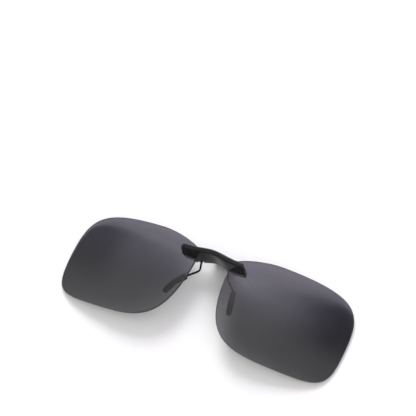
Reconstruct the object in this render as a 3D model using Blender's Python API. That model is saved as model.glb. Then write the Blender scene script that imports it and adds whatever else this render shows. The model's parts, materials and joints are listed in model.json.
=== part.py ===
"""Clip-on sunglasses: two flat-topped tinted lenses on a moulded bridge with a sprung two-leg clip.

Frame: +X to the wearer's left, +Y up the lenses, +Z out of the front. The glasses lie on their
back, on the outer lens edges and the end of the thumb lever, with the origin under the middle.
Lengths below are in millimetres.
"""
from math import cos, pi, radians, sin, sqrt

import bmesh
import bpy
from mathutils import Vector

mm = 0.001

# Lens outline: the four points of the right-hand lens where the edge runs level or upright.
lensTop = (29.75, 20.77)
lensOuter = (67.5, -2.87)
lensBottom = (42.7, -20.77)
lensInner = (7.96, 14.6)
# How far each stretch of edge follows its end tangents, as a share of its width or height.
shareTopOuter = (0.88, 0.81)
shareOuterBottom = (0.95, 0.87)
shareBottomInner = (0.59, 0.97)
shareInnerTop = (0.40, 0.41)
stretchPoints = 14

# Lens surface: a shallow dome, turned back towards the temple.
lensCentreX = 37.0
lensHubX = 36.0
lensWrapSlope = 0.145
lensDomeRadius = 222.0
lensThickness = 1.1
lensRings = (1.0, 0.78, 0.52, 0.26)

# Fixings through each lens.
screwXs = (9.75, 12.4)
screwY = 13.4
screwRadius = 0.5
screwHeadRadius = 1.0
screwHeadHeight = 0.55
screwTipZ = 3.5
bushRadius = 0.95
bushBore = 0.6
bushLength = 0.8
fitGap = 0.1

# Bridge bar: a bowed front strip with a sloping underside, and a deeper hollow middle.
barHalfLength = 15.3
barFrontZ = 6.4
barBow = 0.8
stripHeight = 2.1
stripLowY = 13.2
stripRise = 1.09
stripRiseHalf = 10.5
barEndRound = 1.4
barEndSoft = 0.9
bodyHalfWidth = 7.75
bodyBackZ = -2.0
bodyTopY = 16.45
tabTopLift = 0.15
tabTaperX = 12.8
tabTaper = 1.2
undersideLowY = 11.4
undersideRiseMiddle = 2.2
undersideRiseBack = 1.78
undersideRiseHalf = 9.0
tabFlare = 0.05
cavityHalfWidth = 7.2
cavityFrontZ = 2.9
cavityRoofY = 15.95
cavityFloorWall = 0.42

# Clamp plates behind the lenses.
plateInnerX = 8.3
plateOuterX = 15.2
plateBackZ = -1.7
plateDrop = 0.4
plateTaper = 1.3
plateTaperX = 13.0

# Hinge of the clip.
pinY = 14.8
pinZ = 0.6
pinRadius = 0.4
pinHalfLength = 7.7
barrelRadius = 1.0
barrelBore = 0.5
barrelHalfLength = 7.05
leverAngle = radians(22.0)
leverHalfWidth = 5.0
leverThickness = 1.0
springWindow = 2.5

# Spring round the hinge pin.
springWire = 0.15
springRadius = 0.7
springTurns = 4
springHalfLength = 1.0
springArm = 2.3

# Clip legs: the wire's corners on the right-hand side, then the rubber tip.
wireRadius = 0.45
socketAngle = radians(35.7)
socketX = 6.35
socketStart = 1.25
socketEnd = 2.3
legExit = (6.72, 11.5, -1.25)
legKnee = (6.92, 8.65, -3.75)
legAnkle = (11.62, 4.82, -4.1)
legBow = (14.15, -0.55, -1.2)
legToe = (15.97, -6.2, -0.6)
legBends = (0.8, 1.1, 0.9, 3.2)
tipRadius = 1.28
tipBore = 0.55
tipStart = 0.4
wireEndInTip = 3.5


def clearScene():
    for thing in list(bpy.data.objects):
        bpy.data.objects.remove(thing, do_unlink=True)


def principled(name, colour, roughness, metallic=0.0, alpha=1.0):
    material = bpy.data.materials.new(name)
    material.use_nodes = True
    shader = material.node_tree.nodes["Principled BSDF"]
    shader.inputs["Base Color"].default_value = (*colour, 1.0)
    shader.inputs["Roughness"].default_value = roughness
    shader.inputs["Metallic"].default_value = metallic
    shader.inputs["Alpha"].default_value = alpha
    return material


def place(name, verts, faces, material, angle=35.0):
    """A new object from points in millimetres, closed, facing out and smooth on its round parts."""
    mesh = bpy.data.meshes.new(name)
    bm = bmesh.new()
    made = [bm.verts.new(Vector(v) * mm + Vector((0, 0, restLift * mm))) for v in verts]
    for face in faces:
        bm.faces.new([made[i] for i in face])
    bmesh.ops.recalc_face_normals(bm, faces=bm.faces)
    bm.to_mesh(mesh)
    bm.free()
    mesh.shade_smooth()
    mesh.set_sharp_from_angle(angle=radians(angle))
    piece = bpy.data.objects.new(name, mesh)
    bpy.context.scene.collection.objects.link(piece)
    if material:
        mesh.materials.append(material)
    return piece


def combine(piece, other, operation):
    """Cut the other object from the piece, or join it on, and hide the other as a guide."""
    change = piece.modifiers.new(operation.lower(), 'BOOLEAN')
    change.operation = operation
    change.object = other
    change.solver = 'EXACT'
    other.hide_render = True
    other.display_type = 'WIRE'
    return piece


def loft(rings, capped=True):
    """Points and faces of a skin over rings that all have the same number of points."""
    count = len(rings[0])
    verts = [point for ring in rings for point in ring]
    faces = []
    for row in range(len(rings) - 1):
        for i in range(count):
            j = (i + 1) % count
            faces.append((row * count + i, row * count + j, (row + 1) * count + j, (row + 1) * count + i))
    if capped:
        faces.append(tuple(range(count)))
        faces.append(tuple((len(rings) - 1) * count + i for i in range(count)))
    return verts, faces


def blockPoints(low, high):
    """The rings of a box between two corners."""
    (x0, y0, z0), (x1, y1, z1) = low, high
    return loft([[(x, y0, z0), (x, y1, z0), (x, y1, z1), (x, y0, z1)] for x in (x0, x1)])


def cylinder(name, start, end, radius, sides=20, material=None):
    return place(name, *tube([start, end], [(0, 0.0, radius), (1, 0.0, radius)], sides), material)


def sideVectors(path):
    """Two unit vectors across the path at each of its points, carried along without twist."""
    points = [Vector(p) for p in path]
    tangents = []
    for i in range(len(points)):
        ahead = points[min(i + 1, len(points) - 1)]
        behind = points[max(i - 1, 0)]
        tangents.append((ahead - behind).normalized())
    across = tangents[0].orthogonal().normalized()
    frames = []
    for tangent in tangents:
        across = (across - tangent * across.dot(tangent)).normalized()
        frames.append((tangent, across, tangent.cross(across)))
    return points, frames


def tube(path, profile, sides):
    """A round solid along a path. Each profile entry is (path point, shift along it, radius)."""
    points, frames = sideVectors(path)
    verts = []
    rings = []
    for index, shift, radius in profile:
        tangent, across, beside = frames[index]
        centre = points[index] + tangent * shift
        if radius == 0:
            rings.append([len(verts)])
            verts.append(tuple(centre))
            continue
        rings.append(list(range(len(verts), len(verts) + sides)))
        for k in range(sides):
            turn = 2 * pi * k / sides
            verts.append(tuple(centre + across * (radius * cos(turn)) + beside * (radius * sin(turn))))
    faces = []
    for near, far in zip(rings, rings[1:]):
        for k in range(sides):
            j = (k + 1) % sides
            corners = [near[k % len(near)], near[j % len(near)], far[j % len(far)], far[k % len(far)]]
            faces.append(tuple(dict.fromkeys(corners)))
    for ring in (rings[0], rings[-1]):
        if len(ring) > 1:
            faces.append(tuple(ring))
    return verts, faces


def bentPath(corners, reaches, steps=5):
    """A path through the corners, each bend rounded over its own reach."""
    points = [Vector(c) for c in corners]
    path = [points[0]]
    for before, corner, after, bend in zip(points, points[1:], points[2:], reaches):
        back = before - corner
        ahead = after - corner
        reach = min(bend, 0.45 * back.length, 0.45 * ahead.length)
        start = corner + back.normalized() * reach
        end = corner + ahead.normalized() * reach
        for k in range(steps + 1):
            t = k / steps
            path.append(start * (1 - t) ** 2 + corner * (2 * t * (1 - t)) + end * t ** 2)
    path.append(points[-1])
    return path


# --- lens ---------------------------------------------------------------------------------


def lensFrontZ(x, y):
    across = abs(x) - lensCentreX
    return -(lensWrapSlope * across + (across ** 2 + y ** 2) / (2 * lensDomeRadius))


def lensNormal(x, y):
    across = abs(x) - lensCentreX
    normal = Vector((lensWrapSlope + across / lensDomeRadius, y / lensDomeRadius, 1.0))
    return normal.normalized()


def lensBackZ(x, y):
    return lensFrontZ(x, y) - lensThickness / lensNormal(x, y).z


def curveBetween(start, startHandle, endHandle, end, count):
    points = []
    for k in range(count):
        t = k / count
        weights = ((1 - t) ** 3, 3 * t * (1 - t) ** 2, 3 * t ** 2 * (1 - t), t ** 3)
        ends = (start, startHandle, endHandle, end)
        points.append(tuple(sum(w * p[axis] for w, p in zip(weights, ends)) for axis in (0, 1)))
    return points


def lensOutline():
    """The right-hand lens edge, clockwise from the top."""
    def stretch(start, end, shares, levelFirst):
        width = end[0] - start[0]
        height = end[1] - start[1]
        if levelFirst:
            handles = ((start[0] + width * shares[0], start[1]), (end[0], end[1] - height * shares[1]))
        else:
            handles = ((start[0], start[1] + height * shares[0]), (end[0] - width * shares[1], end[1]))
        return curveBetween(start, *handles, end, stretchPoints)
    return (stretch(lensTop, lensOuter, shareTopOuter, True)
            + stretch(lensOuter, lensBottom, shareOuterBottom, False)
            + stretch(lensBottom, lensInner, shareBottomInner, True)
            + stretch(lensInner, lensTop, shareInnerTop, False))


def lensPoint(x, y, depth):
    point = Vector((x, y, lensFrontZ(x, y))) - lensNormal(x, y) * depth
    return tuple(point)


def lensLowestZ():
    return min(lensPoint(x, y, lensThickness)[2] for x, y in lensOutline())


def addLens(name, side, material):
    outline = lensOutline()
    count = len(outline)
    verts = []
    for depth in (0.0, lensThickness):
        for scale in lensRings:
            for x, y in outline:
                verts.append(lensPoint(lensHubX + (x - lensHubX) * scale, y * scale, depth))
        verts.append(lensPoint(lensHubX, 0.0, depth))
    faceStart = len(lensRings) * count + 1
    faces = []
    for base in (0, faceStart):
        for ring in range(len(lensRings) - 1):
            for i in range(count):
                j = (i + 1) % count
                near = base + ring * count
                faces.append((near + i, near + j, near + count + j, near + count + i))
        hub = base + len(lensRings) * count
        last = base + (len(lensRings) - 1) * count
        for i in range(count):
            faces.append((last + i, last + (i + 1) % count, hub))
    for i in range(count):
        j = (i + 1) % count
        faces.append((i, j, faceStart + j, faceStart + i))
    lens = place(name, [(side * x, y, z) for x, y, z in verts], faces, material)
    for number, x in enumerate(screwXs, 1):
        hole = cylinder(f"{name}_hole_{number}", (side * x, screwY, -3), (side * x, screwY, 5),
                        bushRadius + fitGap)
        combine(lens, hole, 'DIFFERENCE')
    return lens


# --- bridge -------------------------------------------------------------------------------


def rise(x, half):
    """A smooth hump, 1 in the middle and 0 from half the width outwards."""
    if abs(x) >= half:
        return 0.0
    return 0.5 * (1 + cos(pi * x / half))


def endInset(x, reach):
    """How far a face draws in along a quarter round that covers the last stretch of the bar."""
    past = max(0.0, (abs(x) - (barHalfLength - reach)) / reach)
    return reach * 0.85 * (1 - sqrt(max(0.0, 1 - past ** 2)))


def roundedCorner(before, corner, after, reach, steps=3):
    corner = Vector(corner)
    back = Vector(before) - corner
    ahead = Vector(after) - corner
    reach = min(reach, 0.45 * back.length, 0.45 * ahead.length)
    start = corner + back.normalized() * reach
    end = corner + ahead.normalized() * reach
    points = []
    for k in range(steps + 1):
        t = k / steps
        points.append(start * (1 - t) ** 2 + corner * (2 * t * (1 - t)) + end * t ** 2)
    return points


def barCorners(x):
    """The bar's section at x: strip foot, strip head, then the middle and back of top and underside."""
    inset = endInset(x, barEndSoft)
    topInset = endInset(x, barEndRound)
    frontZ = barFrontZ - barBow * (x / barHalfLength) ** 2 - inset
    low = stripLowY + stripRise * rise(x, stripRiseHalf)
    foot = (low + inset * 0.5, frontZ)
    head = (low + stripHeight - topInset, frontZ)
    underside = undersideLowY + undersideRiseMiddle * rise(x, undersideRiseHalf)
    underside += tabFlare * max(0.0, abs(x) - undersideRiseHalf) + inset * 0.6
    tabTop = low + stripHeight + tabTopLift - tabTaper * max(0.0, abs(x) - tabTaperX)
    shoulder = min(1.0, max(0.0, (abs(x) - bodyHalfWidth) / 2.5))
    top = bodyTopY + (tabTop - bodyTopY) * (3 * shoulder ** 2 - 2 * shoulder ** 3)
    middleTop = (top, lensFrontZ(x, top) + fitGap)
    middleLow = (underside, lensFrontZ(x, underside) + fitGap)
    backLow = undersideLowY + undersideRiseBack * rise(x, undersideRiseHalf)
    return foot, head, middleTop, (bodyTopY, bodyBackZ), (backLow, bodyBackZ), middleLow


def barRing(x, deep):
    foot, head, middleTop, backTop, backLow, middleLow = barCorners(x)
    ring = roundedCorner(middleLow, foot, head, 0.35)
    ring += roundedCorner(foot, head, middleTop, 0.5)
    ring.append(Vector(middleTop))
    if deep:
        ring.append(Vector(backTop))
        ring += roundedCorner(backTop, backLow, middleLow, 0.25)
    ring.append(Vector(middleLow))
    return [(x, point[0], point[1]) for point in ring]


def addBridgeBar(material):
    """One skin: shallow tab sections outside, deep body sections inside, a flat step between."""
    tabXs = [bodyHalfWidth, 8.4, 9.1, 9.8, 10.5, 11.5, 12.3, tabTaperX, 13.4]
    tabXs += [barHalfLength - barEndRound * (1 - sin(radians(turn))) for turn in range(0, 91, 15)]
    bodyXs = [bodyHalfWidth * k / 8 for k in range(-8, 9)]
    left = [barRing(-x, False) for x in reversed(tabXs)]
    middle = [barRing(x, True) for x in bodyXs]
    right = [barRing(x, False) for x in tabXs]
    verts = []
    faces = []
    index = {}

    def number(point):
        key = tuple(round(value, 6) for value in point)
        if key not in index:
            index[key] = len(verts)
            verts.append(point)
        return index[key]

    for group in (left, middle, right):
        for near, far in zip(group, group[1:]):
            for i in range(len(near)):
                j = (i + 1) % len(near)
                faces.append(tuple(number(p) for p in (near[i], near[j], far[j], far[i])))
    faces.append(tuple(number(p) for p in left[0]))
    faces.append(tuple(number(p) for p in right[-1]))
    shallow = len(left[0])
    for step in (middle[0], middle[-1]):
        faces.append(tuple(number(p) for p in step[shallow - 2:]))
    bar = place("bridge_bar", verts, faces, material)
    return cutBridgeBar(bar)


def cutBridgeBar(bar):
    cavityRings = []
    for k in range(-6, 7):
        x = cavityHalfWidth * k / 6
        foot, _, _, _, backLow, middleLow = barCorners(x)
        climb = (cavityFrontZ - middleLow[1]) / (foot[1] - middleLow[1])
        frontFloor = middleLow[0] + (foot[0] - middleLow[0]) * climb + cavityFloorWall
        backFloor = backLow[0] + cavityFloorWall
        cavityRings.append([(x, frontFloor, cavityFrontZ), (x, cavityRoofY, cavityFrontZ),
                            (x, cavityRoofY, bodyBackZ - 1), (x, backFloor, bodyBackZ - 1)])
    combine(bar, place("cavity", *loft(cavityRings), None), 'DIFFERENCE')
    mouth = blockPoints((-5.3, cavityRoofY - 0.4, bodyBackZ - 1), (5.3, bodyTopY + 1, pinZ + 0.35))
    combine(bar, place("lever_mouth", *mouth, None), 'DIFFERENCE')
    for side in (-1, 1):
        slotXs = sorted((side * 5.65, side * (cavityHalfWidth - 0.01)))
        slot = blockPoints((slotXs[0], 10, bodyBackZ - 1), (slotXs[1], 14, -0.45))
        combine(bar, place(f"wire_slot_{side}", *slot, None), 'DIFFERENCE')
        for x in screwXs:
            hole = cylinder(f"screw_hole_{side}_{x}", (side * x, screwY, 0), (side * x, screwY, screwTipZ + 0.2),
                            screwRadius + 0.05, 16)
            combine(bar, hole, 'DIFFERENCE')
    pinHole = cylinder("pin_hole", (-9, pinY, pinZ), (9, pinY, pinZ), pinRadius + 0.05, 16)
    return combine(bar, pinHole, 'DIFFERENCE')


def addClampPlate(name, side, material):
    rings = []
    length = plateOuterX - plateInnerX
    for share in (0.0, 0.03, 0.08, 0.15, 0.3, 0.5, 0.7, 0.85, 0.92, 0.97, 1.0):
        x = plateInnerX + length * share
        fromEnd = min(share, 1 - share) * length
        inset = 0.6 * (1.0 - sqrt(max(0.0, 1 - (1 - min(1.0, fromEnd)) ** 2)))
        low = undersideLowY - plateDrop + tabFlare * (x - plateInnerX) + inset
        top = stripLowY + stripHeight - plateTaper * max(0.0, x - plateTaperX) - inset * 0.3
        rings.append([(side * x, low, plateBackZ), (side * x, top, plateBackZ),
                      (side * x, top, lensBackZ(x, top) - fitGap),
                      (side * x, low, lensBackZ(x, low) - fitGap)])
    plate = place(name, *loft(rings), material)
    for number, x in enumerate(screwXs, 1):
        hole = cylinder(f"{name}_hole_{number}", (side * x, screwY, -4), (side * x, screwY, 3),
                        screwRadius + fitGap, 16)
        combine(plate, hole, 'DIFFERENCE')
        seat = cylinder(f"{name}_seat_{number}", (side * x, screwY, -4), (side * x, screwY, plateBackZ + 0.35),
                        screwHeadRadius + fitGap, 20)
        combine(plate, seat, 'DIFFERENCE')
    return plate


def addScrew(name, x, material):
    """A slotted cheese-head screw, put in from the back."""
    seatZ = plateBackZ + 0.25
    path = [(x, screwY, seatZ - screwHeadHeight), (x, screwY, seatZ), (x, screwY, screwTipZ)]
    profile = [(0, 0.0, 0.0), (0, 0.0, screwHeadRadius - 0.15), (0, 0.15, screwHeadRadius),
               (1, 0.0, screwHeadRadius), (1, 0.0, screwRadius), (2, -0.3, screwRadius),
               (2, 0.0, screwRadius - 0.25), (2, 0.0, 0.0)]
    screw = place(name, *tube(path, profile, 16), material)
    slotLow = (x - 1.5, screwY - 0.13, seatZ - screwHeadHeight - 0.5)
    slotHigh = (x + 1.5, screwY + 0.13, seatZ - screwHeadHeight + 0.25)
    return combine(screw, place(f"{name}_slot", *blockPoints(slotLow, slotHigh), None), 'DIFFERENCE')


def addBush(name, x, material):
    """A plain sleeve that keeps the screw off the drilled lens."""
    middle = (lensFrontZ(x, screwY) + lensBackZ(x, screwY)) / 2
    path = [(x, screwY, middle - bushLength / 2), (x, screwY, middle + bushLength / 2)]
    verts, faces = tube(path, [(0, 0.0, bushBore), (1, 0.0, bushBore),
                               (1, 0.0, bushRadius), (0, 0.0, bushRadius)], 16)
    faces = faces[:-2]
    sides = 16
    faces += [(k, (k + 1) % sides, 3 * sides + (k + 1) % sides, 3 * sides + k) for k in range(sides)]
    return place(name, verts, faces, material)


# --- clip ---------------------------------------------------------------------------------


def leverFrame():
    """The lever's direction away from the pin and the direction out of its upper face."""
    along = Vector((0, sin(leverAngle), -cos(leverAngle)))
    upward = Vector((0, cos(leverAngle), sin(leverAngle)))
    return along, upward


def leverLength():
    """Long enough for the lever's lower end to reach the plane that the lenses rest on."""
    drop = pinZ - 0.5 * leverThickness * sin(leverAngle) + restLift
    return drop / cos(leverAngle)


def addRocker(material):
    """The barrel round the pin, the thumb lever behind it and a socket for each leg wire."""
    pin = Vector((0, pinY, pinZ))
    along, upward = leverFrame()
    length = leverLength()
    corner = 2.0
    outline = [(0.2, leverHalfWidth)]
    for turn in range(0, 91, 18):
        outline.append((length - corner + corner * sin(radians(turn)),
                        leverHalfWidth - corner + corner * cos(radians(turn))))
    outline += [(u, -x) for u, x in reversed(outline)]
    verts = []
    for height in (-0.5, 0.5):
        for u, x in outline:
            verts.append(tuple(pin + Vector((x, 0, 0)) + along * u + upward * (height * leverThickness)))
    count = len(outline)
    faces = [tuple(range(count)), tuple(range(count, 2 * count))]
    faces += [(i, (i + 1) % count, count + (i + 1) % count, count + i) for i in range(count)]
    rocker = place("clip_rocker", verts, faces, material)
    barrel = cylinder("rocker_barrel", (-barrelHalfLength, pinY, pinZ), (barrelHalfLength, pinY, pinZ),
                      barrelRadius, 24)
    combine(rocker, barrel, 'UNION')
    down = Vector((0, -cos(socketAngle), -sin(socketAngle)))
    across = Vector((0, sin(socketAngle), -cos(socketAngle)))
    for side in (-1, 1):
        rings = []
        for x in (side * 5.62, side * (barrelHalfLength + 0.03)):
            centre = pin + Vector((x, 0, 0))
            rings.append([tuple(centre + down * d + across * a)
                          for d, a in ((0.1, -0.72), (0.1, 0.72), (socketEnd, 0.72), (socketEnd, -0.72))])
        combine(rocker, place(f"socket_{side}", *loft(rings), None), 'UNION')
    window = blockPoints((-springWindow, pinY - 1.6, pinZ - 1.35), (springWindow, pinY + 1.6, pinZ + 1.6))
    combine(rocker, place("spring_window", *window, None), 'DIFFERENCE')
    bore = cylinder("rocker_bore", (-9, pinY, pinZ), (9, pinY, pinZ), barrelBore, 20)
    combine(rocker, bore, 'DIFFERENCE')
    for side in (-1, 1):
        seat = pin + Vector((side * socketX, 0, 0))
        hole = cylinder(f"socket_hole_{side}", tuple(seat + down * (socketStart - 0.1)),
                        tuple(seat + down * (socketEnd + 1)), wireRadius + 0.06, 16)
        combine(rocker, hole, 'DIFFERENCE')
    for number in range(3):
        middle = pin + along * (length - 1.3 - 0.9 * number) + upward * (0.5 * leverThickness)
        groove = cylinder(f"grip_groove_{number}", (-3.2, middle.y, middle.z), (3.2, middle.y, middle.z), 0.18, 10)
        combine(rocker, groove, 'DIFFERENCE')
    return rocker


def legCorners(side):
    down = Vector((0, -cos(socketAngle), -sin(socketAngle)))
    seat = Vector((socketX, pinY, pinZ))
    corners = [seat + down * socketStart, seat + down * (socketEnd + 0.1)]
    corners += [Vector(corner) for corner in (legExit, legKnee, legAnkle, legBow, legToe)]
    return [Vector((side * c.x, c.y, c.z)) for c in corners]


def legPath(side):
    return bentPath(legCorners(side), (0.3, *legBends))


def pathSlice(path, start, end, step):
    """Evenly spaced points of a path between two distances along it."""
    lengths = [0.0]
    for a, b in zip(path, path[1:]):
        lengths.append(lengths[-1] + (b - a).length)
    count = max(2, round((end - start) / step))
    points = []
    for k in range(count + 1):
        want = start + (end - start) * k / count
        i = max(j for j in range(len(path) - 1) if lengths[j] <= want + 1e-9)
        share = (want - lengths[i]) / (lengths[i + 1] - lengths[i])
        points.append(path[i].lerp(path[i + 1], share))
    return points


def pathLength(path):
    return sum((b - a).length for a, b in zip(path, path[1:]))


def tipStartLength(side):
    """Distance along the wire to the mouth of the rubber tip."""
    ankle, bow, toe = legCorners(side)[-3:]
    return pathLength(legPath(side)) - (toe - bow).length - (bow - ankle).length + tipStart


def addLegWire(name, side, material):
    path = legPath(side)
    points = pathSlice(path, 0.0, pathLength(path) - wireEndInTip, 0.7)
    last = len(points) - 1
    profile = [(0, 0.0, 0.0)] + [(i, 0.0, wireRadius) for i in range(last + 1)] + [(last, 0.0, 0.0)]
    return place(name, *tube(points, profile, 12), material)


def addLegTip(name, side, material):
    """A soft sleeve pushed over the wire's end, open at the wire and round at the toe."""
    path = legPath(side)
    start = tipStartLength(side)
    end = pathLength(path)
    points = pathSlice(path, start, end, 0.8)
    last = len(points) - 1
    boreLast = max(i for i in range(last) if (end - start) * i / last < end - start - wireEndInTip + 0.8)
    profile = [(boreLast, 0.0, 0.0)]
    profile += [(i, 0.0, tipBore) for i in range(boreLast, -1, -1)]
    profile += [(0, 0.0, tipRadius - 0.3), (0, 0.12, tipRadius - 0.09)]
    profile += [(i, 0.0, tipRadius) for i in range(1, last - 1)]
    for turn in (0, 25, 50, 70):
        profile.append((last, -tipRadius * (1 - sin(radians(turn))), tipRadius * cos(radians(turn))))
    profile.append((last, 0.0, 0.0))
    return place(name, *tube(points, profile, 14), material)


def addSpring(material):
    """A torsion spring: one arm under the bridge roof, the other on top of the lever."""
    pin = Vector((0, pinY, pinZ))
    along, upward = leverFrame()
    count = 12 * springTurns
    endTurn = leverAngle - 2 * pi * springTurns
    coil = []
    for k in range(count + 1):
        share = k / count
        turn = endTurn * share
        x = springHalfLength * (2 * share - 1)
        coil.append(pin + Vector((x, springRadius * cos(turn), springRadius * sin(turn))))
    front = coil[0] + Vector((0, 0, springArm - 0.4))
    path = [front, front.lerp(coil[0], 0.5)] + coil
    path += [coil[-1] + along * springArm * 0.5, coil[-1] + along * springArm]
    last = len(path) - 1
    profile = [(0, 0.0, 0.0)] + [(i, 0.0, springWire) for i in range(last + 1)] + [(last, 0.0, 0.0)]
    return place("torsion_spring", *tube(path, profile, 6), material)


def hangFrom(pivot, piece):
    """Parent a piece to the hinge's empty, so that it turns about the pin."""
    shift = -pivot.location
    for vertex in piece.data.vertices:
        vertex.co += shift
    piece.parent = pivot
    for change in piece.modifiers:
        for vertex in change.object.data.vertices:
            vertex.co += shift
        change.object.parent = pivot


restLift = -lensLowestZ()


def build():
    clearScene()
    smokeLens = principled("smoke_lens", (0.05, 0.05, 0.055), 0.08, alpha=0.45)
    blackPlastic = principled("black_plastic", (0.012, 0.012, 0.013), 0.38)
    leverPlastic = principled("lever_plastic", (0.014, 0.014, 0.015), 0.42)
    paintedWire = principled("painted_wire", (0.01, 0.01, 0.011), 0.3, 0.6)
    softRubber = principled("soft_rubber", (0.02, 0.02, 0.021), 0.7)
    brightSteel = principled("bright_steel", (0.55, 0.55, 0.55), 0.3, 1.0)
    nylon = principled("nylon", (0.6, 0.6, 0.56), 0.45)

    addBridgeBar(blackPlastic)
    for word, side in (("left", -1), ("right", 1)):
        addLens(f"lens_{word}", side, smokeLens)
        addClampPlate(f"clamp_plate_{word}", side, blackPlastic)
        for end, x in zip(("inner", "outer"), screwXs):
            addScrew(f"lens_screw_{word}_{end}", side * x, brightSteel)
            addBush(f"lens_bush_{word}_{end}", side * x, nylon)
    cylinder("hinge_pin", (-pinHalfLength, pinY, pinZ), (pinHalfLength, pinY, pinZ), pinRadius, 16, brightSteel)
    addSpring(brightSteel)

    pivot = bpy.data.objects.new("clip_pivot", None)
    pivot.location = Vector((0, pinY, pinZ + restLift)) * mm
    bpy.context.scene.collection.objects.link(pivot)
    moving = [addRocker(leverPlastic)]
    for word, side in (("left", -1), ("right", 1)):
        moving.append(addLegWire(f"leg_wire_{word}", side, paintedWire))
        moving.append(addLegTip(f"leg_tip_{word}", side, softRubber))
    for piece in moving:
        hangFrom(pivot, piece)


build()
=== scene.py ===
import bpy
import bmesh
import json
from math import pi, radians
import numpy as np
from mathutils import Matrix, Vector


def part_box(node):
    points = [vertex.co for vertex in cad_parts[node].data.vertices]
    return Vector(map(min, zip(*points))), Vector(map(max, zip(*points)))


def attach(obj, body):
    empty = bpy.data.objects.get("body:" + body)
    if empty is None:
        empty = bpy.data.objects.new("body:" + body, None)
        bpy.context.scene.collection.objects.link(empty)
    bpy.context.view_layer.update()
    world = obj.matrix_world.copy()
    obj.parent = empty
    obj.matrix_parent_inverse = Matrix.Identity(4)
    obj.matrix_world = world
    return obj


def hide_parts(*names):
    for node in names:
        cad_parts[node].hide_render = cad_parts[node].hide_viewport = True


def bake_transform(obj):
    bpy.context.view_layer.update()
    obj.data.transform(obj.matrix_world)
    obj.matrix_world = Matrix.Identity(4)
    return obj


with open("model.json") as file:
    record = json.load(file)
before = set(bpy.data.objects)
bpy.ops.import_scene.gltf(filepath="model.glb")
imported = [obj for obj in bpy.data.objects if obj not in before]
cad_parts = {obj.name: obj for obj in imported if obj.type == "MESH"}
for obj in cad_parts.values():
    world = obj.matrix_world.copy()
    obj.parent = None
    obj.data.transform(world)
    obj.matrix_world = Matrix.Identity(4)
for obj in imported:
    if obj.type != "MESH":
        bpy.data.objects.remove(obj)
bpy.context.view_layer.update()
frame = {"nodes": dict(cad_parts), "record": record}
mm = 0.001
bodyOf = {}
for bodyName, nodeNames in frame["record"]["behaviour"]["bodies"].items():
    for nodeName in nodeNames:
        bodyOf[nodeName] = bodyName
print("frame loaded with", len(frame["nodes"]), "nodes")


# colours and nodes

def linear(hexColour):
    channels = [int(hexColour[start:start + 2], 16) / 255 for start in (1, 3, 5)]
    curve = [c / 12.92 if c <= 0.04045 else ((c + 0.055) / 1.055) ** 2.4 for c in channels]
    return (*curve, 1.0)


def startMaterial(name, settings):
    material = bpy.data.materials.new(name)
    material.use_nodes = True
    tree = material.node_tree
    shader = tree.nodes["Principled BSDF"]
    for socket, value in settings.items():
        shader.inputs[socket].default_value = value
    return material, tree, shader


# a node, its settings or unlinked inputs, and what feeds its other inputs
def addNode(tree, kind, settings, links):
    node = tree.nodes.new(kind)
    for key, value in settings.items():
        if isinstance(key, str) and hasattr(node, key):
            setattr(node, key, value)
        else:
            node.inputs[key].default_value = value
    for key, source in links.items():
        tree.links.new(source, node.inputs[key])
    return node


# how wide a pattern's features are drawn, in mm, turned to a texture scale per metre
def scaleFor(size):
    return 1 / (size * mm)


# meshes

shaping = {
    "weld": 2e-7,               # in metres: corners nearer than this are one
    "flatWithin": 0.6,          # degrees: facets this level become one face
    "pairFaces": 50,            # degrees: triangles that may pair into a four-sided face
    "pairShapes": 70,
    "easeFrom": 38,             # degrees: edges this sharp are eased
    "easeSteps": 2,
    "keepFrom": 48,             # degrees: rims this sharp are kept through the rounding
    "keepHow": 0.8,
    "sharpFrom": 50,            # degrees: shading breaks here on rounded pieces
}


def weldedCopy(nodeName, flatten):
    mesh = bpy.data.meshes.new(nodeName + "_fine")
    bm = bmesh.new()
    bm.from_mesh(frame["nodes"][nodeName].data)
    bmesh.ops.remove_doubles(bm, verts=bm.verts, dist=shaping["weld"])
    if flatten:
        level = radians(shaping["flatWithin"])
        bmesh.ops.dissolve_limit(bm, angle_limit=level, verts=bm.verts, edges=bm.edges)
    else:
        bmesh.ops.join_triangles(bm, faces=bm.faces, angle_face_threshold=radians(shaping["pairFaces"]),
                                 angle_shape_threshold=radians(shaping["pairShapes"]))
    bmesh.ops.recalc_face_normals(bm, faces=bm.faces)
    bm.to_mesh(mesh)
    bm.free()
    mesh.materials.clear()
    return mesh


def applied(piece):
    graph = bpy.context.evaluated_depsgraph_get()
    mesh = bpy.data.meshes.new_from_object(piece.evaluated_get(graph))
    piece.modifiers.clear()
    piece.data = mesh
    return piece


# put a finished piece on its body, in its slot, in place of its node
def settle(piece, nodeName, material):
    piece.data.materials.clear()
    piece.data.materials.append(material)
    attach(piece, bodyOf[nodeName])
    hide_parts(nodeName)
    return piece


def newPiece(name, mesh):
    piece = bpy.data.objects.new(name, mesh)
    bpy.context.scene.collection.objects.link(piece)
    return piece


# a machined or moulded node with its edges rounded off
def easedPiece(nodeName, width, material):
    piece = newPiece(nodeName + "_eased", weldedCopy(nodeName, True))
    piece.data.shade_smooth()
    bevel = piece.modifiers.new("edges", 'BEVEL')
    bevel.width = width * mm
    bevel.segments = shaping["easeSteps"]
    bevel.limit_method = 'ANGLE'
    bevel.angle_limit = radians(shaping["easeFrom"])
    bevel.use_clamp_overlap = True
    weighted = piece.modifiers.new("flats", 'WEIGHTED_NORMAL')
    weighted.keep_sharp = True
    applied(piece)
    return settle(piece, nodeName, material)


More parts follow.
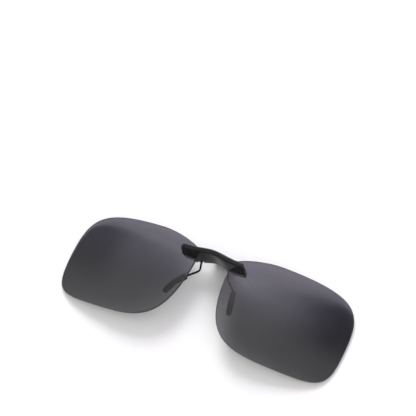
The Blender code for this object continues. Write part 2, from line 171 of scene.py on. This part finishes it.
# a bent or turned node, rounded by subdivision with its rims kept
def roundedPiece(nodeName, levels):
    mesh = weldedCopy(nodeName, False)
    bm = bmesh.new()
    bm.from_mesh(mesh)
    crease = bm.edges.layers.float.new("crease_edge")
    for edge in bm.edges:
        if len(edge.link_faces) == 2 and edge.calc_face_angle() > radians(shaping["keepFrom"]):
            edge[crease] = shaping["keepHow"]
    bm.to_mesh(mesh)
    bm.free()
    piece = newPiece(nodeName + "_rounded", mesh)
    piece.data.shade_smooth()
    subdivision = piece.modifiers.new("round", 'SUBSURF')
    subdivision.levels = levels
    subdivision.render_levels = levels
    applied(piece)
    piece.data.set_sharp_from_angle(angle=radians(shaping["sharpFrom"]))
    return piece


# materials

# smoke acrylic, cast and polished: clear to look through, sharp reflections, and a rim painted dark as
# painted shade, for the dark outline light gives its edge
smokeAcrylic = {
    # painted shade: tint, at the top of the lens, is darker than tintLow, at the bottom
    "tint": "#75737c",
    "tintLow": "#7c7c80",
    # painted shade: the rim colour is dark to stand in for the dark outline light gives the lens edge
    "rim": "#29292b",
    "rimRoughness": 0.34,
    "paintedShadeReach": 20,            # mm above and below the middle over which the tint drifts
    "smear": 6.25,              # mm, as wide as a wiped finger mark
    "smearShown": (0.45, 0.75),
    "smearRoughness": (0.012, 0.05),
}


def smokeAcrylicMaterial():
    material, tree, shader = startMaterial("smokeAcrylic", {
        "Transmission Weight": 1.0,
        "IOR": 1.49,
        "Specular IOR Level": 0.5,
    })
    place = addNode(tree, "ShaderNodeTexCoord", {}, {})
    rim = addNode(tree, "ShaderNodeAttribute", {"attribute_name": "rim"}, {})
    smear = addNode(tree, "ShaderNodeTexNoise", {"Scale": scaleFor(smokeAcrylic["smear"]), "Detail": 3.0,
                                                "Distortion": 1.2}, {"Vector": place.outputs["Object"]})
    # painted shade: the tint is darker towards the top of the lens and lighter towards the bottom, standing
    # in for the uneven light behind it
    split = addNode(tree, "ShaderNodeSeparateXYZ", {}, {0: place.outputs["Object"]})
    reach = smokeAcrylic["paintedShadeReach"] * mm
    height = addNode(tree, "ShaderNodeMapRange", {"From Min": -reach, "From Max": reach},
                     {"Value": split.outputs["Y"]})
    tintWithPaintedShade = addNode(tree, "ShaderNodeMix", {"data_type": 'RGBA', 6: linear(smokeAcrylic["tintLow"]),
                                            7: linear(smokeAcrylic["tint"])}, {0: height.outputs[0]})
    # painted shade: the rim mark mixes the dark rim colour in along the lens edge
    body = addNode(tree, "ShaderNodeMix", {"data_type": 'RGBA', 7: linear(smokeAcrylic["rim"])},
                   {0: rim.outputs["Fac"], 6: tintWithPaintedShade.outputs[2]})
    tree.links.new(body.outputs[2], shader.inputs["Base Color"])
    low, high = smokeAcrylic["smearRoughness"]
    faint, strong = smokeAcrylic["smearShown"]
    smearRange = addNode(tree, "ShaderNodeMapRange", {"From Min": faint, "From Max": strong, "To Min": low,
                                                      "To Max": high}, {"Value": smear.outputs["Fac"]})
    rough = addNode(tree, "ShaderNodeMix", {3: smokeAcrylic["rimRoughness"]},
                    {0: rim.outputs["Fac"], 2: smearRange.outputs[0]})
    tree.links.new(rough.outputs[0], shader.inputs["Roughness"])
    return material


# a black finish with a soft cloud in its colour and gloss, a fine grain, and worn, slightly greyer edges
def blackFinishMaterial(name, settings):
    material, tree, shader = startMaterial(name, {
        "IOR": settings["ior"],
        "Specular IOR Level": settings["gloss"],
    })
    place = addNode(tree, "ShaderNodeTexCoord", {}, {})
    cloud = addNode(tree, "ShaderNodeTexNoise", {"Scale": scaleFor(settings["cloud"]), "Detail": 4.0},
                    {"Vector": place.outputs["Object"]})
    grain = addNode(tree, "ShaderNodeTexNoise", {"Scale": scaleFor(settings["grain"]), "Detail": 2.0,
                                                "Roughness": 0.6}, {"Vector": place.outputs["Object"]})
    worn = addNode(tree, "ShaderNodeNewGeometry", {}, {})
    edge = addNode(tree, "ShaderNodeMapRange", {"From Min": 0.53, "From Max": 0.62},
                   {"Value": worn.outputs["Pointiness"]})
    patchy = addNode(tree, "ShaderNodeMath", {"operation": 'MULTIPLY'},
                     {0: edge.outputs[0], 1: cloud.outputs["Fac"]})
    base = addNode(tree, "ShaderNodeMix", {"data_type": 'RGBA', 6: linear(settings["colour"]),
                                           7: linear(settings["cloudy"])}, {0: cloud.outputs["Fac"]})
    shown = addNode(tree, "ShaderNodeMix", {"data_type": 'RGBA', 7: linear(settings["edge"])},
                    {0: patchy.outputs[0], 6: base.outputs[2]})
    tree.links.new(shown.outputs[2], shader.inputs["Base Color"])
    low, high = settings["roughness"]
    rough = addNode(tree, "ShaderNodeMapRange", {"From Min": 0.3, "From Max": 0.7, "To Min": low,
                                                 "To Max": high}, {"Value": cloud.outputs["Fac"]})
    tree.links.new(rough.outputs[0], shader.inputs["Roughness"])
    bump = addNode(tree, "ShaderNodeBump",
                   {"Strength": settings["bump"], "Distance": settings["bumpHeight"] * mm},
                   {"Height": grain.outputs["Fac"]})
    tree.links.new(bump.outputs[0], shader.inputs["Normal"])
    return material


# cloud and grain are in mm. A spark-eroded tool's grain is under 0.1 mm, drawn coarser so that it shows
# black ABS, moulded in a spark-eroded tool: an even satin
bridgeBlack = {
    "colour": "#0b0b0c", "cloudy": "#111113", "edge": "#2c2c2f",
    "ior": 1.5, "gloss": 0.28, "roughness": (0.2, 0.29),
    "cloud": 3.85, "grain": 0.3125, "bump": 0.35, "bumpHeight": 0.03,
}
# black nylon from the same kind of tool: a little duller
leverBlack = {
    "colour": "#0d0d0e", "cloudy": "#151517", "edge": "#343438",
    "ior": 1.5, "gloss": 0.4, "roughness": (0.36, 0.48),
    "cloud": 2.38, "grain": 0.278, "bump": 0.4, "bumpHeight": 0.03,
}
# epoxy paint, baked over steel wire: glossier than the mouldings, with a faint orange peel
bakedPaint = {
    "colour": "#0a0a0b", "cloudy": "#101012", "edge": "#28282b",
    "ior": 1.52, "gloss": 0.25, "roughness": (0.2, 0.32),
    "cloud": 1.43, "grain": 0.588, "bump": 0.3, "bumpHeight": 0.02,
}
# silicone rubber, dip moulded: dull and dusty, and it picks up a soft bloom on its rounds
softRubber = {
    "colour": "#151516", "cloudy": "#1f1f20", "edge": "#303031",
    "ior": 1.42, "gloss": 0.4, "roughness": (0.6, 0.78),
    "cloud": 2.0, "grain": 0.417, "bump": 0.5, "bumpHeight": 0.03,
}


# stainless steel: bright, with turning rings or draw lines and a little grime between them
grimeSize = 1.11                # mm, drawn wider than it is so that it shows


def steelMaterial(name, settings):
    material, tree, shader = startMaterial(name, {"Metallic": 1.0})
    place = addNode(tree, "ShaderNodeTexCoord", {}, {})
    centred = addNode(tree, "ShaderNodeMapping", {"Location": (-0.5, -0.5, -0.5)},
                      {"Vector": place.outputs["Generated"]})
    lineScale = settings["across"] / settings["pitch"] * 2 * pi / 20
    lines = addNode(tree, "ShaderNodeTexWave", {"wave_type": settings["wave"], "rings_direction": 'Z',
                                                "bands_direction": 'X', "Scale": lineScale,
                                                "Distortion": 0.6, "Detail": 2.0},
                    {"Vector": centred.outputs[0]})
    grime = addNode(tree, "ShaderNodeTexNoise", {"Scale": scaleFor(grimeSize), "Detail": 3.0},
                    {"Vector": place.outputs["Object"]})
    base = addNode(tree, "ShaderNodeMix", {"data_type": 'RGBA', 6: linear(settings["colour"]),
                                           7: linear(settings["dull"])}, {0: grime.outputs["Fac"]})
    tree.links.new(base.outputs[2], shader.inputs["Base Color"])
    low, high = settings["roughness"]
    rough = addNode(tree, "ShaderNodeMapRange", {"To Min": low, "To Max": high},
                    {"Value": grime.outputs["Fac"]})
    tree.links.new(rough.outputs[0], shader.inputs["Roughness"])
    bump = addNode(tree, "ShaderNodeBump", {"Strength": 0.25, "Distance": 0.01 * mm},
                   {"Height": lines.outputs["Fac"]})
    tree.links.new(bump.outputs[0], shader.inputs["Normal"])
    return material


# a wave texture has 20 radians of its wave to each unit, and the unit here is the piece's own box, so the
# lines are pitch mm apart on a piece that is across mm wide, and further apart on a longer one
turnedSteel = {
    "colour": "#b9babc", "dull": "#8f9092", "wave": 'RINGS', "roughness": (0.24, 0.4),
    "across": 2.0, "pitch": 0.0698,
}
# real draw lines are finer than this, and are drawn coarser so that they show
drawnSteel = {
    "colour": "#a9aaad", "dull": "#7f8083", "wave": 'BANDS', "roughness": (0.28, 0.42),
    "across": 2.28, "pitch": 0.0512,
}


# natural nylon, moulded: milky, with light going a little way in
naturalNylon = {
    "colour": "#cfcdc4", "cloudy": "#bcb9ad", "ior": 1.53, "roughness": (0.38, 0.52),
    "glow": 0.25, "glowDepth": 0.6, "cloud": 0.667,
}


def naturalNylonMaterial():
    material, tree, shader = startMaterial("naturalNylon", {
        "IOR": naturalNylon["ior"],
        "Subsurface Weight": naturalNylon["glow"],
        "Subsurface Scale": naturalNylon["glowDepth"] * mm,
    })
    place = addNode(tree, "ShaderNodeTexCoord", {}, {})
    milk = addNode(tree, "ShaderNodeTexNoise", {"Scale": scaleFor(naturalNylon["cloud"]), "Detail": 2.0},
                   {"Vector": place.outputs["Object"]})
    base = addNode(tree, "ShaderNodeMix", {"data_type": 'RGBA', 6: linear(naturalNylon["colour"]),
                                           7: linear(naturalNylon["cloudy"])}, {0: milk.outputs["Fac"]})
    tree.links.new(base.outputs[2], shader.inputs["Base Color"])
    low, high = naturalNylon["roughness"]
    rough = addNode(tree, "ShaderNodeMapRange", {"To Min": low, "To Max": high},
                    {"Value": milk.outputs["Fac"]})
    tree.links.new(rough.outputs[0], shader.inputs["Roughness"])
    return material


acrylic = smokeAcrylicMaterial()
bridgePlastic = blackFinishMaterial("mouldedBridgeBlack", bridgeBlack)
leverPlastic = blackFinishMaterial("mouldedLeverBlack", leverBlack)
wirePaint = blackFinishMaterial("bakedBlackPaint", bakedPaint)
tipRubber = blackFinishMaterial("blackSiliconeRubber", softRubber)
screwSteel = steelMaterial("turnedSteel", turnedSteel)
springSteel = steelMaterial("drawnSpringSteel", drawnSteel)
nylon = naturalNylonMaterial()
print("materials ready")


# lenses

lens = {
    "thickness": 1.1,           # mm, as the frame's lenses are
    "hub": 36.0,                # the rings close in on this point, in mm from the midline
    "chamfer": 0.16,            # the edge break, in mm
    "chamferTurn": 0.3,         # how far along the edge break its middle ring stands
    "between": 4,               # cuts in each stretch of the frame's outline
    "holeMargin": 0.6,          # mm: points this near a bush are the drilled hole, not the outline
    "faceWithin": 0.985,        # cosine: facets this level with the dome are its polished faces
    "sharpFrom": 55,            # degrees
    "inward": (0.985, 0.955, 0.9, 0.8, 0.66, 0.5, 0.34, 0.18),
}


# front face of a lens as z = a + b x + c (x2 + y2), and its outline, both read from its node
def readLens(nodeName, side):
    mesh = weldedCopy(nodeName, False)
    bm = bmesh.new()
    bm.from_mesh(mesh)
    points = np.array([(v.co.x * side, v.co.y, v.co.z) for v in bm.verts]) / mm
    terms = np.stack([np.ones(len(points)), points[:, 0], points[:, 0] ** 2 + points[:, 1] ** 2], 1)
    middle, _, _, _ = np.linalg.lstsq(terms, points[:, 2], rcond=None)
    front = points[:, 2] > terms @ middle
    face, _, _, _ = np.linalg.lstsq(terms[front], points[front, 2], rcond=None)
    holes = []
    for end in ("inner", "outer"):
        low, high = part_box(nodeName.replace("lens_", "lens_bush_") + "_" + end)
        holes.append((abs(low.x + high.x) / 2 / mm, (low.y + high.y) / 2 / mm, (high.x - low.x) / 2 / mm))
    rim = set()
    for edge in bm.edges:
        ends = [v.index for v in edge.verts]
        if front[ends[0]] != front[ends[1]]:
            rim.update(i for i in ends if front[i])
    bm.free()
    outline = []
    for i in rim:
        x, y, _ = points[i]
        clear = [np.hypot(x - holeX, y - holeY) - radius for holeX, holeY, radius in holes]
        if min(clear) >= lens["holeMargin"]:
            outline.append((x, y))
    outline.sort(key=lambda point: np.arctan2(point[1], point[0] - lens["hub"]))
    return face, outline


def domeNormal(face, x, y):
    return Vector((-face[1] - 2 * face[2] * x, -2 * face[2] * y, 1.0)).normalized()


# both faces take the dome's own normals, so that no facet shows in the reflections
def polish(mesh, face, side):
    normals = [Vector(corner.vector) for corner in mesh.corner_normals]
    for polygon in mesh.polygons:
        centre = polygon.center / mm
        dome = domeNormal(face, centre.x * side, centre.y)
        dome.x *= side
        facing = polygon.normal.dot(dome)
        if abs(facing) < lens["faceWithin"]:
            continue
        for loop in polygon.loop_indices:
            point = mesh.vertices[mesh.loops[loop].vertex_index].co / mm
            normal = domeNormal(face, point.x * side, point.y)
            normal.x *= side
            normals[loop] = normal if facing > 0 else -normal
    mesh.normals_split_custom_set(normals)


def smoothLoop(points, between):
    loop = []
    count = len(points)
    for i in range(count):
        a, b, c, d = (np.array(points[(i + k) % count]) for k in (-1, 0, 1, 2))
        for k in range(between):
            t = k / between
            loop.append(0.5 * (2 * b + (c - a) * t + (2 * a - 5 * b + 4 * c - d) * t ** 2
                               + (3 * b - a - 3 * c + d) * t ** 3))
    return loop


def lensPiece(nodeName, side):
    face, outline = readLens(nodeName, side)
    loop = smoothLoop(outline, lens["between"])
    count = len(loop)
    inwards = []
    for i in range(count):
        along = loop[(i + 1) % count] - loop[i - 1]
        across = np.array((-along[1], along[0]))
        inwards.append(across / np.linalg.norm(across))

    def surfacePoint(x, y, depth):
        z = face[0] + face[1] * x + face[2] * (x * x + y * y)
        point = Vector((x, y, z)) - domeNormal(face, x, y) * depth
        return Vector((point.x * side, point.y, point.z)) * mm

    thick = lens["thickness"]
    chamfer = lens["chamfer"]
    turn = chamfer * lens["chamferTurn"]
    edgeRings = [(chamfer, 0.0), (turn, turn), (0.0, chamfer), (0.0, thick / 2),
                 (0.0, thick - chamfer), (turn, thick - turn), (chamfer, thick)]
    rings = []
    for share in reversed(lens["inward"]):
        rings.append(("face", share, 0.0))
    rings += [("edge", inset, depth) for inset, depth in edgeRings]
    for share in lens["inward"]:
        rings.append(("face", share, thick))
    bm = bmesh.new()
    rimLayer = bm.verts.layers.float.new("rim")
    rows = []
    for kind, first, depth in rings:
        row = []
        for point, inward in zip(loop, inwards):
            if kind == "face":
                x = lens["hub"] + (point[0] - lens["hub"]) * first
                y = point[1] * first
            else:
                x, y = point + inward * first
            vert = bm.verts.new(surfacePoint(x, y, depth))
            # the rim mark carries the painted edge shade and the rim's roughness
            if kind == "edge" and first < chamfer:
                vert[rimLayer] = 1.0
            row.append(vert)
        rows.append(row)
    for near, far in zip(rows, rows[1:]):
        for i in range(count):
            j = (i + 1) % count
            bm.faces.new((near[i], near[j], far[j], far[i]))
    for row, depth in ((rows[0], 0.0), (rows[-1], thick)):
        hub = bm.verts.new(surfacePoint(lens["hub"], 0.0, depth))
        for i in range(count):
            bm.faces.new((row[i], row[(i + 1) % count], hub))
    bmesh.ops.recalc_face_normals(bm, faces=bm.faces)
    mesh = bpy.data.meshes.new(nodeName + "_polished")
    bm.to_mesh(mesh)
    bm.free()
    mesh.shade_smooth()
    piece = newPiece(nodeName + "_polished", mesh)
    piece.data.set_sharp_from_angle(angle=radians(lens["sharpFrom"]))
    polish(piece.data, face, side)
    return settle(piece, nodeName, acrylic)


for side, word in ((-1, "left"), (1, "right")):
    lensPiece("lens_" + word, side)
print("lenses ground and polished")


# bridge, plates and fixings

# how far each edge is eased, in mm
edges = {"bar": 0.14, "plate": 0.12, "lever": 0.14, "screw": 0.06, "bush": 0.05, "pin": 0.06}

easedPiece("bridge_bar", edges["bar"], bridgePlastic)
for word in ("left", "right"):
    easedPiece("clamp_plate_" + word, edges["plate"], bridgePlastic)
    for end in ("inner", "outer"):
        easedPiece(f"lens_screw_{word}_{end}", edges["screw"], screwSteel)
        easedPiece(f"lens_bush_{word}_{end}", edges["bush"], nylon)
easedPiece("hinge_pin", edges["pin"], screwSteel)
print("bridge finished")


# clip

clip = {
    "legRounding": 2,
    "springRounding": 1,
    "springFree": 0.8,          # mm each side of the middle over which the spring twists
}
easedPiece("clip_rocker", edges["lever"], leverPlastic)
for word in ("left", "right"):
    for nodeName, material in (("leg_wire_" + word, wirePaint), ("leg_tip_" + word, tipRubber)):
        settle(roundedPiece(nodeName, clip["legRounding"]), nodeName, material)

# the spring is rounded and given drawn steel in place of its node, and stays fixed where the frame has it
spring = roundedPiece("torsion_spring", clip["springRounding"])
spring.data.materials.clear()
spring.data.materials.append(springSteel)
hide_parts("torsion_spring")
pinLow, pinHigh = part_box("hinge_pin")
pinCentre = (pinLow + pinHigh) / 2
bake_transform(spring)
print("clip finished")


# studio

studio = {
    "floor": "#f4f4f4",
    "floorFibre": "#f7f7f7",
    "fibre": 3.33,              # mm, a paper's cloudiness and not its fibres, which are too fine to show
    "floorSize": 3.0,
    "keySize": 0.7,
    "keyPower": 13.0,
    "keyFrom": (-0.5, 1.05, 0.9),
    "fillSize": 0.8,
    "fillPower": 2.0,
    "fillFrom": (0.9, -0.6, 0.9),
}

material, tree, shader = startMaterial("whitePaperSweep", {"Roughness": 0.9})
place = addNode(tree, "ShaderNodeTexCoord", {}, {})
fibre = addNode(tree, "ShaderNodeTexNoise", {"Scale": scaleFor(studio["fibre"]), "Detail": 4.0},
                {"Vector": place.outputs["Object"]})
paper = addNode(tree, "ShaderNodeMix", {"data_type": 'RGBA', 6: linear(studio["floor"]),
                                        7: linear(studio["floorFibre"])}, {0: fibre.outputs["Fac"]})
tree.links.new(paper.outputs[2], shader.inputs["Base Color"])
half = studio["floorSize"] / 2
floorMesh = bpy.data.meshes.new("paperFloor")
corners = [(-half, -half, 0), (half, -half, 0), (half, half, 0), (-half, half, 0)]
floorMesh.from_pydata(corners, [], [(0, 1, 2, 3)])
floorMesh.materials.append(material)
floor = newPiece("paperFloor", floorMesh)

# the room: white walls, and a soft bright panel beyond a darker gap
# each pair is a range along the X or Y part of the direction, over which that light changes
room = {
    "walls": 0.95,
    "farWallY": (0.42, 0.6),
    "rightWallX": (0.15, 0.4),
    "overhead": 0.1,            # what there is everywhere
    "panel": 1.5,
    "panelY": (0.1, 0.28),
    "panelRightX": (0.06, -0.2),
    "panelRightLeft": 0.05,     # the share of the panel left beyond its right edge
    "panelBeyondY": (0.28, 0.37),
    "panelBeyond": 0.4,
    "panelLeftX": (-0.3, -0.6),
    "panelLeft": 0.65,
    "panelEndX": (-0.7, -0.8),
    "panelEnd": 0.4,
    "near": 0.7,
    "nearY": (0.24, 0.1),
    "floorwardY": (-0.05, -0.4),
    "floorward": 0.06,
    "panelTint": "#f6f1ff",
    "wallTint": "#fffefa",
    "tintY": (0.15, 0.3),
}
world = bpy.data.worlds.new("softRoom")
world.use_nodes = True
sky = world.node_tree
direction = addNode(sky, "ShaderNodeTexCoord", {}, {})
parts = addNode(sky, "ShaderNodeSeparateXYZ", {}, {0: direction.outputs["Generated"]})
lookX = parts.outputs["X"]
lookY = parts.outputs["Y"]


def easeBetween(source, between, low, high):
    node = addNode(sky, "ShaderNodeMapRange", {"interpolation_type": 'SMOOTHSTEP',
                                               "From Min": between[0], "From Max": between[1],
                                               "To Min": low, "To Max": high}, {"Value": source})
    return node.outputs[0]


def combineValues(operation, first, second):
    return addNode(sky, "ShaderNodeMath", {"operation": operation}, {0: first, 1: second}).outputs[0]


panel = easeBetween(lookY, room["panelY"], 0.0, room["panel"])
rightEdge = easeBetween(lookX, room["panelRightX"], room["panelRightLeft"], 1.0)
panel = combineValues('MULTIPLY', panel, rightEdge)
leftFade = combineValues('MULTIPLY', easeBetween(lookX, room["panelLeftX"], 1.0, room["panelLeft"]),
                         easeBetween(lookX, room["panelEndX"], 1.0, room["panelEnd"]))
panel = combineValues('MULTIPLY', panel, leftFade)
panel = combineValues('MULTIPLY', panel, easeBetween(lookY, room["panelBeyondY"], 1.0, room["panelBeyond"]))
nearSide = easeBetween(lookY, room["nearY"], 0.0, room["near"])
towardsFloor = easeBetween(lookY, room["floorwardY"], 1.0, room["floorward"])
nearSide = combineValues('MULTIPLY', nearSide, towardsFloor)
farWall = easeBetween(lookY, room["farWallY"], 0.0, room["walls"])
rightWall = easeBetween(lookX, room["rightWallX"], 0.0, room["walls"])
strength = combineValues('ADD', panel, nearSide)
strength = combineValues('ADD', strength, combineValues('MAXIMUM', farWall, rightWall))
everywhere = addNode(sky, "ShaderNodeMath", {"operation": 'ADD', 1: room["overhead"]}, {0: strength})
cooler = easeBetween(lookY, room["tintY"], 0.0, 1.0)
tint = addNode(sky, "ShaderNodeMix", {"data_type": 'RGBA', 6: linear(room["wallTint"]),
                                      7: linear(room["panelTint"])}, {0: cooler})
sky.links.new(tint.outputs[2], sky.nodes["Background"].inputs["Color"])
sky.links.new(everywhere.outputs[0], sky.nodes["Background"].inputs["Strength"])
bpy.context.scene.world = world


def softbox(name, size, power, position):
    light = bpy.data.lights.new(name, 'AREA')
    light.shape = 'SQUARE'
    light.size = size
    light.energy = power
    lamp = bpy.data.objects.new(name, light)
    lamp.location = position
    lamp.rotation_euler = (-Vector(position)).to_track_quat('-Z', 'Y').to_euler()
    bpy.context.scene.collection.objects.link(lamp)


softbox("keySoftbox", studio["keySize"], studio["keyPower"], studio["keyFrom"])
softbox("fillSoftbox", studio["fillSize"], studio["fillPower"], studio["fillFrom"])

# camera: a three-quarter view from in front of the lenses. It stands on a line through a point over the
# origin, and is then turned a little off that line, so that the object lies low in the picture
camera = {
    "distance": 1.2,
    "focal": 250.9,
    "sensor": 36,
    "nearest": 0.01,
    "belowPin": 0.6,            # mm from the pin's height down to that point's
    "right": (0.8393, 0.4322, -0.3297),
    "up": (-0.2979, 0.8730, 0.3861),
    "turnRight": 0.00207,       # slopes off the line to that point
    "turnUp": 0.028424,
}
cameraRight = Vector(camera["right"]).normalized()
cameraUp = Vector(camera["up"])
cameraUp = (cameraUp - cameraRight * cameraUp.dot(cameraRight)).normalized()
cameraBack = cameraRight.cross(cameraUp)
aimed = Vector((0, 0, pinCentre.z - camera["belowPin"] * mm))
forward = (-cameraBack + cameraRight * camera["turnRight"] + cameraUp * camera["turnUp"]).normalized()
viewRight = (cameraRight + forward * -cameraRight.dot(forward)).normalized()
viewUp = viewRight.cross(forward)
eye = bpy.data.cameras.new("studioCamera")
eye.lens = camera["focal"]
eye.sensor_width = camera["sensor"]
eye.clip_start = camera["nearest"]
studioCamera = bpy.data.objects.new("studioCamera", eye)
turn = Matrix((viewRight, viewUp, -forward)).transposed().to_4x4()
studioCamera.matrix_world = Matrix.Translation(aimed + cameraBack * camera["distance"]) @ turn
bpy.context.scene.collection.objects.link(studioCamera)
bpy.context.scene.camera = studioCamera
bpy.context.scene.view_settings.view_transform = 'Standard'
print("studio lit")
